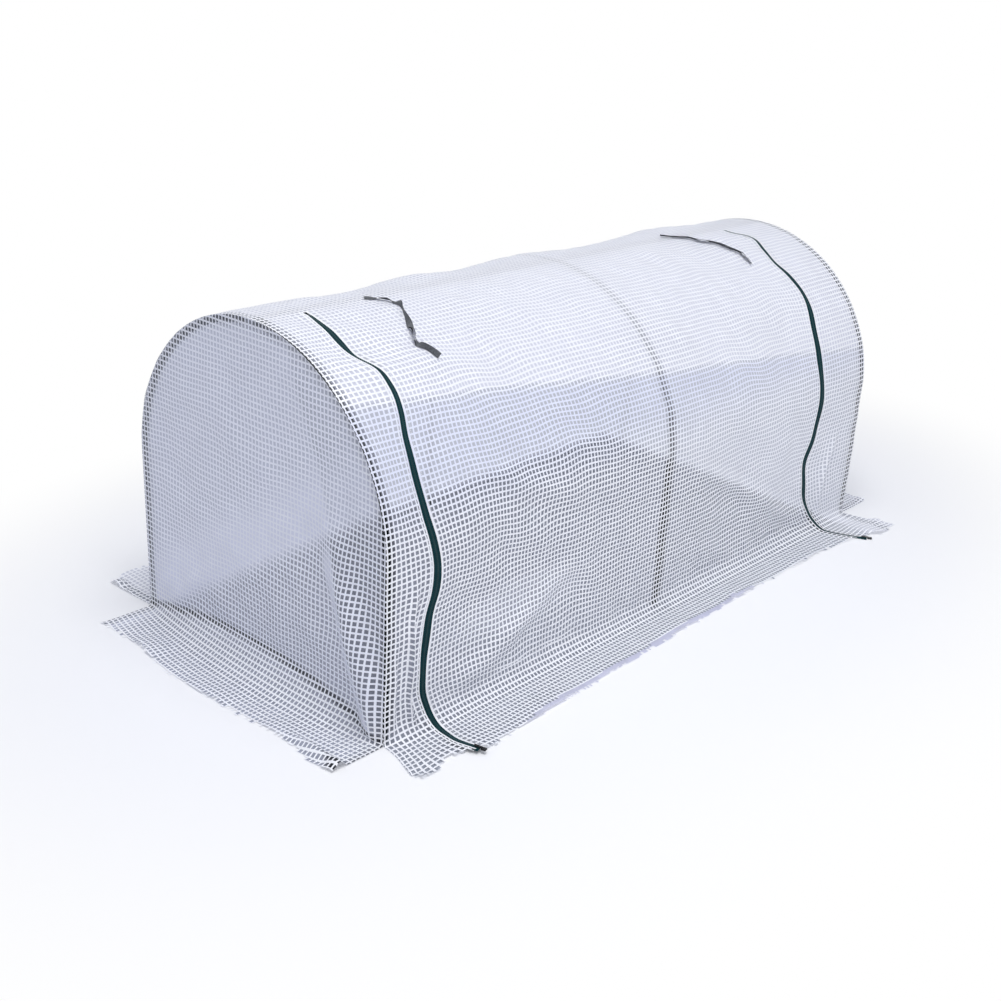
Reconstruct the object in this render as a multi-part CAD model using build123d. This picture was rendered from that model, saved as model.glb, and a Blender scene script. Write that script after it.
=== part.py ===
from build123d import *
import math
import os

# Low polytunnel greenhouse: three steel hoops on legs, a ridge bar in two halves, and a
# mesh-reinforced film cover whose near side unzips along two lines and rolls up to the ridge.
# Millimetres. The origin is on the ground at the middle of the tunnel, +X runs along it
# from the front end to the rear end, +Z is up, and the side with the zips is at -Y.

# Tunnel, measured outside the cover
tunnel_length = 2000.0
tunnel_width = 900.0
wall_height = 420.0

# Cover, drawn thicker than the film that it stands for
cover_thickness = 2.0
skirt_width = 180.0
flare_radius = 50.0
cover_clearance = 0.3

# Steel tube of the hoops and the ridge bar
tube_diameter = 16.0
tube_wall = 0.8
tube_fit = 0.1
swage_taper = 3.0
swage_spigot = 30.0
joint_drop = 60.0

# Flat sides that stand for the round of a tube or a moulded plug
round_sides = 12

# Plastic ridge connectors and feet
connector_reach = 14.0
connector_spigot = 25.0
foot_head = 4.0
foot_plug = 24.0
foot_lead = 6.0
foot_taper = 2.0

# Zips of the roll-up side
zip_width = 24.0
zip_front_inset = 132.0
zip_rear_inset = 230.0
zip_top_setback = 30.0
coil_diameter = 5.0
slider_length = 14.0
slider_width = 10.0
slider_wall = 1.6
slider_edge_gap = 6.0
pull_length = 22.0
pull_width = 6.0
pull_thickness = 1.6
slider_clearance = 0.3

# Ribbons that hold the rolled-up side
tie_width = 12.0
tie_thickness = 3.0
tie_front_inset = 326.0
tie_front_route = [(0, -17), (30, -71), (3, -125), (-24, -195), (-43, -235), (-16, -258)]
tie_rear_inset = 494.0
tie_rear_route = [(0, 18), (46, -17), (79, -71), (116, -110), (126, -157), (145, -208)]

# Places and sizes that follow from the values above
arch_radius = tunnel_width / 2
half_length = tunnel_length / 2
sheet_end = half_length - cover_thickness
tube_radius = tube_diameter / 2
tube_bore = tube_diameter - 2 * tube_wall
spigot_diameter = tube_bore - 2 * tube_fit
spigot_bore = spigot_diameter - 2 * tube_wall
hoop_radius = arch_radius - cover_thickness - cover_clearance - tube_radius
end_hoop_x = sheet_end - cover_clearance - tube_radius
ridge_height = wall_height + hoop_radius
joint_height = wall_height - joint_drop
hoop_places = {"front": -end_hoop_x, "middle": 0.0, "rear": end_hoop_x}
connector_angle = math.degrees(connector_reach / hoop_radius)
spigot_angle = math.degrees(connector_spigot / hoop_radius)
zip_front_x = zip_front_inset - half_length
zip_rear_x = half_length - zip_rear_inset
seam_angle = 90 - math.degrees(zip_top_setback / arch_radius)


# Hoops and ridge


def plug_section(radius):
    """Many-sided outline with its corners on the circle, so that it stays inside a bore."""
    return RegularPolygon(radius, round_sides)


def bore_section(radius):
    """Many-sided outline with its flats on the circle, so that a plug of that size goes in."""
    return RegularPolygon(radius, round_sides, major_radius=False)


def tube_section():
    return plug_section(tube_radius) - bore_section(tube_bore / 2)


def tapered(bottom, top, from_height, to_height):
    """Straight-sided change from one outline to another."""
    return loft([Pos(0, 0, from_height) * bottom, Pos(0, 0, to_height) * top], ruled=True)


def swaged_bar(wide, narrow):
    """Straight bar from the foot's head to the swage, then drawn in for the spigot."""
    swage_bottom = joint_height - swage_taper
    bar = Pos(0, 0, foot_head) * extrude(wide, swage_bottom - foot_head)
    bar += tapered(wide, narrow, swage_bottom, joint_height)
    return bar + Pos(0, 0, joint_height) * extrude(narrow, swage_spigot)


def leg(x, y):
    """Upright tube, its top drawn in to a spigot that enters the arch tube above it."""
    outside = swaged_bar(plug_section(tube_radius), plug_section(spigot_diameter / 2))
    inside = swaged_bar(bore_section(tube_bore / 2), bore_section(spigot_bore / 2))
    return Pos(x, y, 0) * (outside - inside)


def foot(x, y):
    """Plastic end plug: a flat head under the tube and a stem inside it that narrows."""
    stem = plug_section(tube_bore / 2 - tube_fit)
    tip = plug_section(tube_bore / 2 - tube_fit - foot_taper)
    stem_top = foot_head + foot_plug
    plug = extrude(plug_section(tube_radius), foot_head)
    plug += extrude(stem, stem_top - foot_lead)
    plug += tapered(stem, tip, stem_top - foot_lead, stem_top)
    return Pos(x, y, 0) * plug


def ring(outer, inner):
    return Circle(outer) - Circle(inner)


def hoop_arc(from_angle, to_angle, radius=hoop_radius):
    """Arc over the tunnel, with 0 degrees at the near shoulder and 90 at the ridge."""
    arc = CenterArc((0, wall_height), radius, 180 - from_angle, from_angle - to_angle)
    return Plane.YZ * arc


def arch_tube(x):
    """Near half of an arch: a straight tail over the leg, then a quarter circle."""
    tail = Line((0, -hoop_radius, joint_height), (0, -hoop_radius, wall_height))
    path = tail + hoop_arc(0, 90 - connector_angle)
    section = Pos(0, -hoop_radius, joint_height) * tube_section()
    return Pos(x, 0, 0) * sweep(section, path=path)


def arc_rod(radius, half_angle):
    """Bar along the top of the hoop, the same length on both sides of the ridge."""
    path = hoop_arc(90 - half_angle, 90 + half_angle)
    start = Plane(path @ 0, x_dir=(1, 0, 0), z_dir=path % 0)
    return sweep(start * plug_section(radius), path=path)


def ridge_connector(x, directions):
    """Moulded hub between the two arch tubes, with an arm for each ridge bar it takes."""
    hub = arc_rod(tube_radius, connector_angle)
    hub += arc_rod(spigot_diameter / 2, connector_angle + spigot_angle)
    collar_start = tube_radius / 2
    collar_length = connector_reach - collar_start
    plug_length = connector_reach + connector_spigot
    for direction in directions:
        turn = Pos(0, 0, ridge_height) * Rot(0, 90 * direction, 0)
        arm = Pos(0, 0, collar_start) * extrude(plug_section(tube_radius), collar_length)
        arm += extrude(plug_section(spigot_diameter / 2), plug_length)
        hub += turn * arm
    return Pos(x, 0, 0) * hub


def ridge_bar(from_x, to_x):
    length = to_x - from_x - 2 * connector_reach
    tube = extrude(tube_section(), length)
    return Pos(from_x + connector_reach, 0, ridge_height) * Rot(0, 90, 0) * tube


# Cover


def skirt_section(half_span):
    """Section of a skirt that turns out from the foot of a wall and lies on the ground."""
    inside = half_span - cover_thickness
    turn = inside + flare_radius
    tip = half_span + skirt_width
    under_arc = CenterArc((-turn, flare_radius), flare_radius, -90, 90)
    over_arc = CenterArc((-turn, flare_radius), flare_radius - cover_thickness, 0, -90)
    outline = [
        Line((-tip, 0), (-turn, 0)),
        under_arc,
        Line((-inside, flare_radius), (-half_span, flare_radius)),
        over_arc,
        Line((-turn, cover_thickness), (-tip, cover_thickness)),
        Line((-tip, cover_thickness), (-tip, 0)),
    ]
    return make_face(Curve() + outline)


def wall_section():
    middle = -(arch_radius - cover_thickness / 2)
    height = wall_height - flare_radius
    return Pos(middle, flare_radius + height / 2) * Rectangle(cover_thickness, height)


def roof_section(from_angle, to_angle):
    """Part of the arched sheet, with 0 degrees at the near shoulder and 90 at the ridge."""
    inner_radius = arch_radius - cover_thickness
    centre = (0, wall_height)
    outer = CenterArc(centre, arch_radius, 180 - from_angle, from_angle - to_angle)
    inner = CenterArc(centre, inner_radius, 180 - to_angle, to_angle - from_angle)
    outline = [outer, Line(outer @ 1, inner @ 0), inner, Line(inner @ 1, outer @ 0)]
    return make_face(Curve() + outline)


def along_tunnel(section, from_x, to_x):
    """Section drawn across the tunnel, run out between two stations along it."""
    return Pos(from_x, 0, 0) * extrude(Plane.YZ * section, to_x - from_x)


def end_panel():
    """Front end wall, with the outline of the arch and a straight lower edge."""
    over = CenterArc((0, wall_height), arch_radius, 0, 180)
    sides = Polyline(over @ 1, (-arch_radius, flare_radius), (arch_radius, flare_radius), over @ 0)
    outline = make_face(over + sides)
    return Pos(-half_length, 0, 0) * extrude(Plane.YZ * outline, cover_thickness)


def end_skirt():
    """Front skirt, from one side wall to the other."""
    section = Plane.XZ * skirt_section(half_length)
    return Pos(0, arch_radius, 0) * extrude(section, tunnel_width)


# Zips


def zip_strip(x):
    """Tape as thick as the cover with a raised coil, from the skirt's edge up to the ridge."""
    mid_radius = arch_radius - cover_thickness / 2
    turn = mid_radius - cover_thickness / 2 + flare_radius
    tip = arch_radius + skirt_width
    mid_height = cover_thickness / 2
    mid_flare = flare_radius - cover_thickness / 2
    on_ground = Line((0, -tip, mid_height), (0, -turn, mid_height))
    flare = Plane.YZ * CenterArc((-turn, flare_radius), mid_flare, -90, 90)
    up_wall = Line((0, -mid_radius, flare_radius), (0, -mid_radius, wall_height))
    path = on_ground + flare + up_wall + hoop_arc(0, seam_angle, mid_radius)
    coil_rise = coil_diameter / 2
    coil = Pos(0, mid_height + coil_rise / 2) * Trapezoid(coil_diameter, coil_rise, 60)
    section = Rectangle(zip_width, cover_thickness) + coil
    skirt_edge = Plane((0, -tip, mid_height), x_dir=(-1, 0, 0), z_dir=(0, 1, 0))
    return Pos(x, 0, 0) * sweep(skirt_edge * section, path=path)


def zip_slider(x):
    """Slider parked at the skirt's edge: a saddle over the coil with a flat pull tab."""
    coil_top = cover_thickness + coil_diameter / 2
    base = cover_thickness + slider_clearance
    tunnel = coil_diameter + 2 * slider_clearance
    height = coil_top + slider_clearance + slider_wall - base
    centre_y = -(arch_radius + skirt_width) + slider_edge_gap + slider_length / 2
    body = Box(slider_width, slider_length, height)
    body = chamfer(body.edges().filter_by(Axis.Z), slider_width / 4)
    channel = Box(tunnel, slider_length, height - slider_wall)
    body -= Pos(0, 0, -slider_wall / 2) * channel
    tab = Box(pull_width, pull_length, pull_thickness)
    tab = chamfer(tab.edges().filter_by(Axis.Z), pull_width / 4)
    tab_y = slider_length / 4 + pull_length / 2
    tab = Pos(0, tab_y, (height + pull_thickness) / 2) * tab
    return Pos(x, centre_y, base + height / 2) * (body + tab)


# Ties


def tie(start_x, route):
    """Ribbon that lies down the near slope of the roof along a wandering line."""
    inner_radius = arch_radius + cover_clearance
    over_roof = ring(inner_radius + tie_thickness, inner_radius)
    shell = Pos(-half_length, 0, wall_height) * extrude(Plane.YZ * over_roof, tunnel_length)
    line = Spline(*[(start_x + along, across) for along, across in route])
    strip = extrude(trace(line, line_width=tie_width), arch_radius + 2 * tie_thickness)
    return shell & Pos(0, 0, wall_height) * strip


# All the pieces by name

parts = {}
for station, hoop_x in hoop_places.items():
    near_leg = leg(hoop_x, -hoop_radius)
    near_foot = foot(hoop_x, -hoop_radius)
    near_arch = arch_tube(hoop_x)
    parts[f"leg_{station}_near"] = near_leg
    parts[f"leg_{station}_far"] = mirror(near_leg, about=Plane.XZ)
    parts[f"foot_{station}_near"] = near_foot
    parts[f"foot_{station}_far"] = mirror(near_foot, about=Plane.XZ)
    parts[f"arch_{station}_near"] = near_arch
    parts[f"arch_{station}_far"] = mirror(near_arch, about=Plane.XZ)

parts["ridge_connector_front"] = ridge_connector(-end_hoop_x, [1])
parts["ridge_connector_middle"] = ridge_connector(0, [1, -1])
parts["ridge_connector_rear"] = ridge_connector(end_hoop_x, [-1])
parts["ridge_bar_front"] = ridge_bar(-end_hoop_x, 0)
parts["ridge_bar_rear"] = ridge_bar(0, end_hoop_x)

near_strips = {
    "near_front": (-sheet_end, zip_front_x - zip_width / 2),
    "door": (zip_front_x + zip_width / 2, zip_rear_x - zip_width / 2),
    "near_rear": (zip_rear_x + zip_width / 2, sheet_end),
}
for strip, (from_x, to_x) in near_strips.items():
    parts[f"{strip}_skirt"] = along_tunnel(skirt_section(arch_radius), from_x, to_x)
    parts[f"{strip}_wall"] = along_tunnel(wall_section(), from_x, to_x)
    parts[f"{strip}_roof"] = along_tunnel(roof_section(0, seam_angle), from_x, to_x)

whole_skirt = along_tunnel(skirt_section(arch_radius), -sheet_end, sheet_end)
whole_wall = along_tunnel(wall_section(), -sheet_end, sheet_end)
parts["far_skirt"] = mirror(whole_skirt, about=Plane.XZ)
parts["far_wall"] = mirror(whole_wall, about=Plane.XZ)
parts["far_roof"] = along_tunnel(roof_section(seam_angle, 180), -sheet_end, sheet_end)

parts["end_panel_front"] = end_panel()
parts["end_panel_rear"] = mirror(end_panel(), about=Plane.YZ)
parts["skirt_front"] = end_skirt()
parts["skirt_rear"] = mirror(end_skirt(), about=Plane.YZ)

parts["zip_front"] = zip_strip(zip_front_x)
parts["zip_rear"] = zip_strip(zip_rear_x)
parts["zip_slider_front"] = zip_slider(zip_front_x)
parts["zip_slider_rear"] = zip_slider(zip_rear_x)
parts["tie_front"] = tie(tie_front_inset - half_length, tie_front_route)
parts["tie_rear"] = tie(half_length - tie_rear_inset, tie_rear_route)

os.makedirs("parts", exist_ok=True)
for name, shape in parts.items():
    export_step(shape, f"parts/{name}.step")
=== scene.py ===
import math

import bpy
import numpy as np
from mathutils import Matrix, Vector


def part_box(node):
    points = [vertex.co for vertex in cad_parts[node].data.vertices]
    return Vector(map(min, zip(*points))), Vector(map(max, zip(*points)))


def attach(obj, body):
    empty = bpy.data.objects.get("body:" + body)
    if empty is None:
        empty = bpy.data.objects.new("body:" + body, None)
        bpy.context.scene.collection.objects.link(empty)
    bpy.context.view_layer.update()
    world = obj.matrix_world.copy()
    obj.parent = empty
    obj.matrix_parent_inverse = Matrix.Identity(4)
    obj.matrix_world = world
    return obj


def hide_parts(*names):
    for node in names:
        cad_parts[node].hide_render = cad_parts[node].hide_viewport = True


# Low polytunnel greenhouse in a pale studio. Metres, in the row frame: +X along the
# tunnel from its front end, +Z up, and the side with the zips at -Y.

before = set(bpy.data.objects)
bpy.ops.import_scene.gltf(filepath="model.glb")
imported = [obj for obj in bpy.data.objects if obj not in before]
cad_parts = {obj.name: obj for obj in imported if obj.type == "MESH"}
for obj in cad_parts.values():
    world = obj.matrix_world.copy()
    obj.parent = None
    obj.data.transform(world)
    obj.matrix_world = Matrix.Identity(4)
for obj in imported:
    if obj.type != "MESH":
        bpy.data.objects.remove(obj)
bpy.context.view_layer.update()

STATIONS = ("front", "middle", "rear")
X, Y = 0, 1


def box_middle(name, axis):
    low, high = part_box(name)
    return (low[axis] + high[axis]) / 2


def box_extent(name, axis):
    low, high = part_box(name)
    return high[axis] - low[axis]


# Sizes read from the frame

HALF_LENGTH = -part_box("end_panel_front")[0].x
ARCH_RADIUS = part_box("end_panel_front")[1].y
WALL_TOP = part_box("door_wall")[1].z
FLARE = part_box("door_skirt")[1].z
SKIRT_TIP = -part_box("door_skirt")[0].y
ZIP_X = [box_middle(name, X) for name in ("zip_front", "zip_rear")]
ZIP_EDGE = box_extent("zip_front", X) / 2 - 0.0002  # from a zip's middle to the cover beside it
HOOP_X = [box_middle(f"foot_{station}_near", X) for station in STATIONS]
HOOP_Y = -box_middle("foot_middle_near", Y)
TUBE = box_extent("foot_middle_near", X) / 2

# Lattice of the cover

PITCH_ALONG = 0.012
PITCH_ACROSS = 0.012
PITCH_DOWN = 0.0135
TAPE_SHARE = 0.33
SEAM_SETBACK = 0.03  # from the ridge down to where the near side starts
HEM = 0.004  # solid margin along a zip
TAPE_END = 0.003  # how far inside a cut edge the tapes across it end
LAST_TAPE = 1.004  # a tape along a cut edge is left out where this share of its run is past it
LEAST_HEIGHT = 0.0015  # of the film over the ground

# Slack between two hoops: (down from the ridge, half width, depth)

SAGS = [(0.42, 0.38, 0.015), (0.88, 0.30, 0.010)]
HOOP_REACH = 0.07  # how far from a hoop the film is held up by it
SKIRT_WAVE = 0.011
SKIRT_CURL = 0.016

# Folds: (from, to, half width, height), from and to as (along or across, down from the ridge)

NEAR_FOLDS = [
    ((-0.925, 0.74), (-0.918, 1.16), 0.018, 0.020),
    ((-0.965, 0.86), (-0.972, 1.17), 0.012, 0.006),
    ((-0.84, 1.10), (-0.30, 0.86), 0.055, 0.010),
    ((0.04, 0.70), (0.70, 1.06), 0.050, 0.012),
    ((0.82, 1.10), (0.90, 0.80), 0.020, 0.008),
    ((-0.80, 0.50), (-0.35, 0.72), 0.045, 0.006),
]
FRONT_FOLDS = [
    ((-0.253, 0.36), (-0.482, 0.98), 0.078, 0.034),
    ((0.12, 0.62), (0.36, 0.84), 0.045, 0.008),
]
REAR_FOLDS = [
    ((0.20, 0.48), (0.40, 0.86), 0.040, 0.012),
    ((-0.10, 0.60), (-0.38, 0.84), 0.045, 0.008),
]
GATHER = 0.9  # how strongly a fold draws the cloth in, for its height and width

# Bulges of the far side's film beside the ridge: (along the tunnel, half width, height)

RIDGE_BULGES = [(-0.42, 0.22, 0.003), (0.0, 0.25, 0.007), (0.62, 0.22, 0.015)]

# Cut edges of the skirts, in metres out from the tunnel's middle: (along the side, reach)

NEAR_CUT = [
    (-1.0, 0.575), (-0.965, 0.603), (-0.928, 0.580), (-0.89, 0.603), (-0.75, 0.608), (-0.5, 0.598),
    (-0.2, 0.588), (0.1, 0.577), (0.5, 0.570), (0.7, 0.578), (0.8, 0.600), (0.88, 0.627), (1.0, 0.622),
]
FAR_CUT = [
    (-1.0, 0.632), (-0.95, 0.652), (-0.86, 0.650), (-0.6, 0.618), (-0.2, 0.612), (0.3, 0.598),
    (0.7, 0.615), (1.0, 0.625),
]
END_CUT = [
    (-0.45, 1.152), (-0.40, 1.158), (-0.30, 1.146), (-0.1, 1.158), (0.15, 1.166), (0.3, 1.146),
    (0.45, 1.150),
]
CUT_JITTER = 0.004
BARE_EDGE = 0.021  # film without tapes along the near skirt, at its widest
SPARE = 0.03  # how much longer the far skirt is
CREASE = 0.078  # height of the crease in the middle of an end wall, where its skirt starts
CREASE_TURN = math.radians(20)  # how far the skirt turns out at once below the crease
CREASE_DROP = 0.33  # how the crease comes down towards the corners, for the square of the distance

# Zip tape, coil and stitches

ZIP_PROUD = -0.0009
TAPE_OFFSETS = (-0.0135, -0.0115, -0.0045, 0, 0.0045, 0.0115, 0.0135)
TAPE_LIFTS = (0, 0, 0.0003, 0.0006, 0.0003, 0, 0)
TOOTH_PITCH = 0.0024
TOOTH_LENGTH = 0.0016
TOOTH_STAGGER = 0.0012
TOOTH_PROUD = 0.0004  # over the tape
TOOTH_SECTION = [(-0.0027, 0.0), (-0.0016, 0.0014), (0.0016, 0.0014), (0.0027, 0.0)]
STITCH_PITCH = 0.0042
STITCH_LENGTH = 0.003
STITCH_INSET = 0.0055  # from the cover's edge
STITCH_PROUD = 0.0002
STITCH_SECTION = [(-0.0005, 0.0), (-0.0003, 0.0005), (0.0003, 0.0005), (0.0005, 0.0)]

# Ties: (distance down from the ridge, place along the tunnel), twist in degrees along the way

TIE_WIDTH = 0.013
TIE_LIFT = 0.0018
TIE_LAP = 0.0008  # how much higher the second strand lies
TIE_ROUTE = [
    [(0.019, -0.686), (0.030, -0.668), (0.067, -0.638), (0.129, -0.664), (0.186, -0.688), (0.234, -0.704),
     (0.256, -0.690), (0.284, -0.677)],
    [(-0.018, 0.506), (0.012, 0.525), (0.036, 0.560), (0.068, 0.580), (0.089, 0.608), (0.118, 0.632),
     (0.151, 0.641), (0.172, 0.654), (0.217, 0.653)],
]
TIE_TWIST = [
    [(0.0, 10), (0.03, 8), (0.07, -22), (0.16, -24), (0.22, 38), (0.55, 42), (0.65, -38), (0.78, -40),
     (0.84, 45), (1.0, 48)],
    [(0.0, -26), (0.20, -24), (0.30, -32), (0.41, -28), (0.52, -37), (0.65, -30), (0.77, -38), (0.88, -30),
     (1.0, -36)],
]
TIE_APART = [
    [(0.0, 0.0006), (0.55, 0.0008), (0.72, 0.0030), (0.84, 0.0008), (1.0, 0.0006)],
    [(0.0, 0.0006), (0.10, 0.0008), (0.20, 0.0036), (0.30, 0.0010), (0.41, 0.0046), (0.52, 0.0010),
     (0.65, 0.0050), (0.77, 0.0010), (0.88, 0.0046), (1.0, 0.0008)],
]

# Lengths across the sheet, from the ridge down

ARCH_RUN = ARCH_RADIUS * math.pi / 2
WALL_RUN = WALL_TOP - FLARE
FLARE_RUN = FLARE * math.pi / 2
SKIRT_RUN = SKIRT_TIP - ARCH_RADIUS - FLARE
WALL_END = ARCH_RUN + WALL_RUN
FLARE_END = WALL_END + FLARE_RUN
SHEET_RUN = FLARE_END + SKIRT_RUN
END_RUN = WALL_TOP + ARCH_RADIUS - FLARE + FLARE_RUN + SKIRT_RUN
FROM_MIDDLE = FLARE_END - ARCH_RADIUS - FLARE  # turns a skirt's reach from the middle into its run

# Zips wander: (distance down from the ridge, offset along the tunnel), in metres

ZIP_WANDER = [
    [(0.0, -0.004), (0.055, -0.006), (0.115, -0.013), (0.175, -0.018), (0.225, -0.013),
     (0.275, 0.020), (0.315, 0.024), (0.38, 0.011), (0.44, -0.007), (0.52, -0.017),
     (0.60, -0.012), (0.67, 0.006), (0.73, 0.019), (0.79, 0.015), (0.85, -0.004),
     (0.93, -0.013), (1.03, -0.015), (1.09, 0.002), (1.14, 0.008), (1.20, 0.0), (1.28, 0.014)],
    [(0.0, -0.002), (0.07, 0.002), (0.122, 0.030), (0.183, 0.007), (0.238, -0.010),
     (0.295, 0.005), (0.353, 0.016), (0.418, 0.008), (0.516, -0.015), (0.60, -0.019),
     (0.708, -0.011), (0.80, -0.020), (0.876, -0.046), (0.976, -0.038), (1.061, 0.002),
     (1.11, 0.040), (1.18, 0.062), (1.28, 0.112)],
]
ZIP_TOP = [0.050, 0.034]  # distance down from the ridge to where each zip starts
ZIP_TAIL = 0.022  # from a zip's lower end to the end of its skirt

# The cover's edges lap over each zip's tape: (distance down from the ridge, share of it that shows)

ZIP_SHOWN = [
    [(0.0, 0.36), (0.055, 0.36), (0.10, 0.50), (0.15, 0.70), (0.18, 0.70), (0.235, 0.25),
     (0.30, 0.55), (0.38, 0.62), (0.62, 0.85), (0.78, 1.0), (0.88, 1.0), (1.0, 0.82),
     (1.1, 0.72), (1.2, 0.5), (1.28, 0.45)],
    [(0.0, 0.18), (0.10, 0.20), (0.15, 0.45), (0.25, 0.50), (0.30, 0.60), (0.36, 0.65), (0.45, 0.90),
     (0.55, 1.0), (0.72, 1.0), (0.85, 0.85), (0.98, 0.7), (1.08, 0.5), (1.28, 0.4)],
]
ZIP_REACH = [(0.13, 0.32), (0.32, 0.2)]  # how far each zip's wander spreads, either side


def smooth_line(points, at):
    """Cubic through a few points, as a bent batten would lie."""
    x, y = np.array(points).T
    slope = np.gradient(y, x)
    i = np.clip(np.searchsorted(x, at) - 1, 0, len(x) - 2)
    step = x[i + 1] - x[i]
    t = np.clip((at - x[i]) / step, 0, 1)
    return (
        y[i] * (1 + 2 * t) * (1 - t) ** 2
        + y[i + 1] * t * t * (3 - 2 * t)
        + step * (slope[i] * t * (1 - t) ** 2 - slope[i + 1] * t * t * (1 - t))
    )


def bump(x, centre, half_width):
    """Smooth hump of height 1 that falls to 0 at half_width either side of centre."""
    return np.cos(np.clip((x - centre) / half_width, -1, 1) * math.pi / 2) ** 2


def rise(x, start, end):
    """Smooth step from 0 at start to 1 at end."""
    t = np.clip((x - start) / (end - start), 0, 1)
    return t * t * (3 - 2 * t)


def ripple(u, v, size, seed):
    """Smooth wander between about -1 and 1, with features of about that size."""
    draws = np.random.default_rng(seed)
    total = 0
    for _ in range(6):
        turn, phase, stretch = draws.uniform(0, 1, 3)
        k = 2 * math.pi / (size * (0.7 + 0.9 * stretch))
        a = 2 * math.pi * turn
        total = total + np.sin(k * (u * math.cos(a) + v * math.sin(a)) + 2 * math.pi * phase)
    return total / 3


def zip_shift(u, v):
    """How far the sheet at (u, v) is drawn along the tunnel by the two zips."""
    total = 0
    for x, wander, (before, after) in zip(ZIP_X, ZIP_WANDER, ZIP_REACH):
        reach = np.where(u < x, before, after)
        near = 1 - rise(np.abs(u - x), 0, reach)
        total = total + near * smooth_line(wander, np.clip(v, 0, None)) * rise(v, -0.05, 0.08)
    return total


def zip_lap(u, v):
    """How far the cover's edges close in over each zip's tape."""
    total = 0
    for x, shown in zip(ZIP_X, ZIP_SHOWN):
        lap = ZIP_EDGE * (1 - smooth_line(shown, np.clip(v, 0, None)))
        total = total - np.sign(u - x) * lap * (1 - rise(np.abs(u - x), ZIP_EDGE, 0.05))
    return total


def bay(u):
    """0 at a hoop and 1 halfway between two hoops."""
    spans = list(zip(HOOP_X[:-1], HOOP_X[1:]))
    return sum(bump(u, (a + b) / 2, (b - a) / 2) for a, b in spans)


def pulls(u, v, folds):
    """Height of the folds along their lines, and how far the cloth is gathered in towards them."""
    lift, shift_u, shift_v = 0, 0, 0
    for (au, av), (bu, bv), half_width, height in folds:
        du, dv = bu - au, bv - av
        length = math.hypot(du, dv)
        along = ((u - au) * du + (v - av) * dv) / length**2
        off = ((u - au) * dv - (v - av) * du) / length
        fade = bump(along, 0.5, 0.62)
        lift = lift + height * fade * bump(off, 0, half_width)
        gathered = min(0.6, GATHER * height / half_width)
        drawn = -gathered * off * fade * bump(off, 0, 2 * half_width)
        shift_u = shift_u + drawn * dv / length
        shift_v = shift_v - drawn * du / length
    return lift, shift_u, shift_v


def flare(turn, corner):
    """Reach and drop of the bend onto the ground, which is sharper towards the tunnel's corners."""
    part = turn / (math.pi / 2)
    reach = (1 - corner) * (1 - np.cos(turn)) + corner * np.clip(2 * part - 1, 0, 1)
    drop = (1 - corner) * np.sin(turn) + corner * np.clip(2 * part, 0, 1)
    return FLARE * reach, FLARE * drop


def ground_wave(u, v, run, corner, seed):
    """Low waves of a skirt, higher towards its cut edge, with its corners curled up."""
    out = rise(v, run - SKIRT_RUN - 0.5 * FLARE_RUN, run)
    wave = np.clip(0.5 + 0.6 * ripple(u, v * 0.3, 0.19, seed), 0.06, 1.3)
    curl = np.clip(ripple(u, v, 0.08, seed + 1), -0.2, 1)
    return out * (SKIRT_WAVE * wave + SKIRT_CURL * corner * curl)


def side_outline(run, corner):
    """Place, normal and tangent, each as (out, up), at a run down from the ridge."""
    angle = np.clip(run, 0, ARCH_RUN) / ARCH_RADIUS
    turn = np.clip(run - WALL_END, 0, FLARE_RUN) / FLARE
    down = np.clip(run - ARCH_RUN, 0, WALL_RUN)
    reach, drop = flare(turn, corner)
    out = ARCH_RADIUS * np.sin(angle) + reach + np.clip(run - FLARE_END, 0, None)
    high = WALL_TOP + ARCH_RADIUS * np.cos(angle) - down - drop
    normal = (np.sin(angle) * np.cos(turn), np.cos(angle) + np.sin(turn))
    on_arch = run < ARCH_RUN
    steep = -np.where(on_arch, np.sin(angle), 1.0) * (run < WALL_END)
    return (out, high), normal, (np.cos(angle) * on_arch, steep)


def slack_lift(u, v, free):
    """Film that hangs between the hoops, ripples, and bulges beside the ridge on the far side."""
    run, slack = np.abs(v), bay(u)
    lift = -slack * sum(depth * bump(run, at, wide) for at, wide, depth in SAGS)
    lift = lift + 0.004 * free * (0.25 + 0.75 * slack) * ripple(u, v, 0.30, seed=3)
    lift = lift + 0.0018 * free * ripple(u, v, 0.10, seed=5)
    beside_ridge = bump(run, 0.16, 0.16) * (v <= 0)
    return lift + beside_ridge * sum(height * bump(u, at, wide) for at, wide, height in RIDGE_BULGES)


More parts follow.
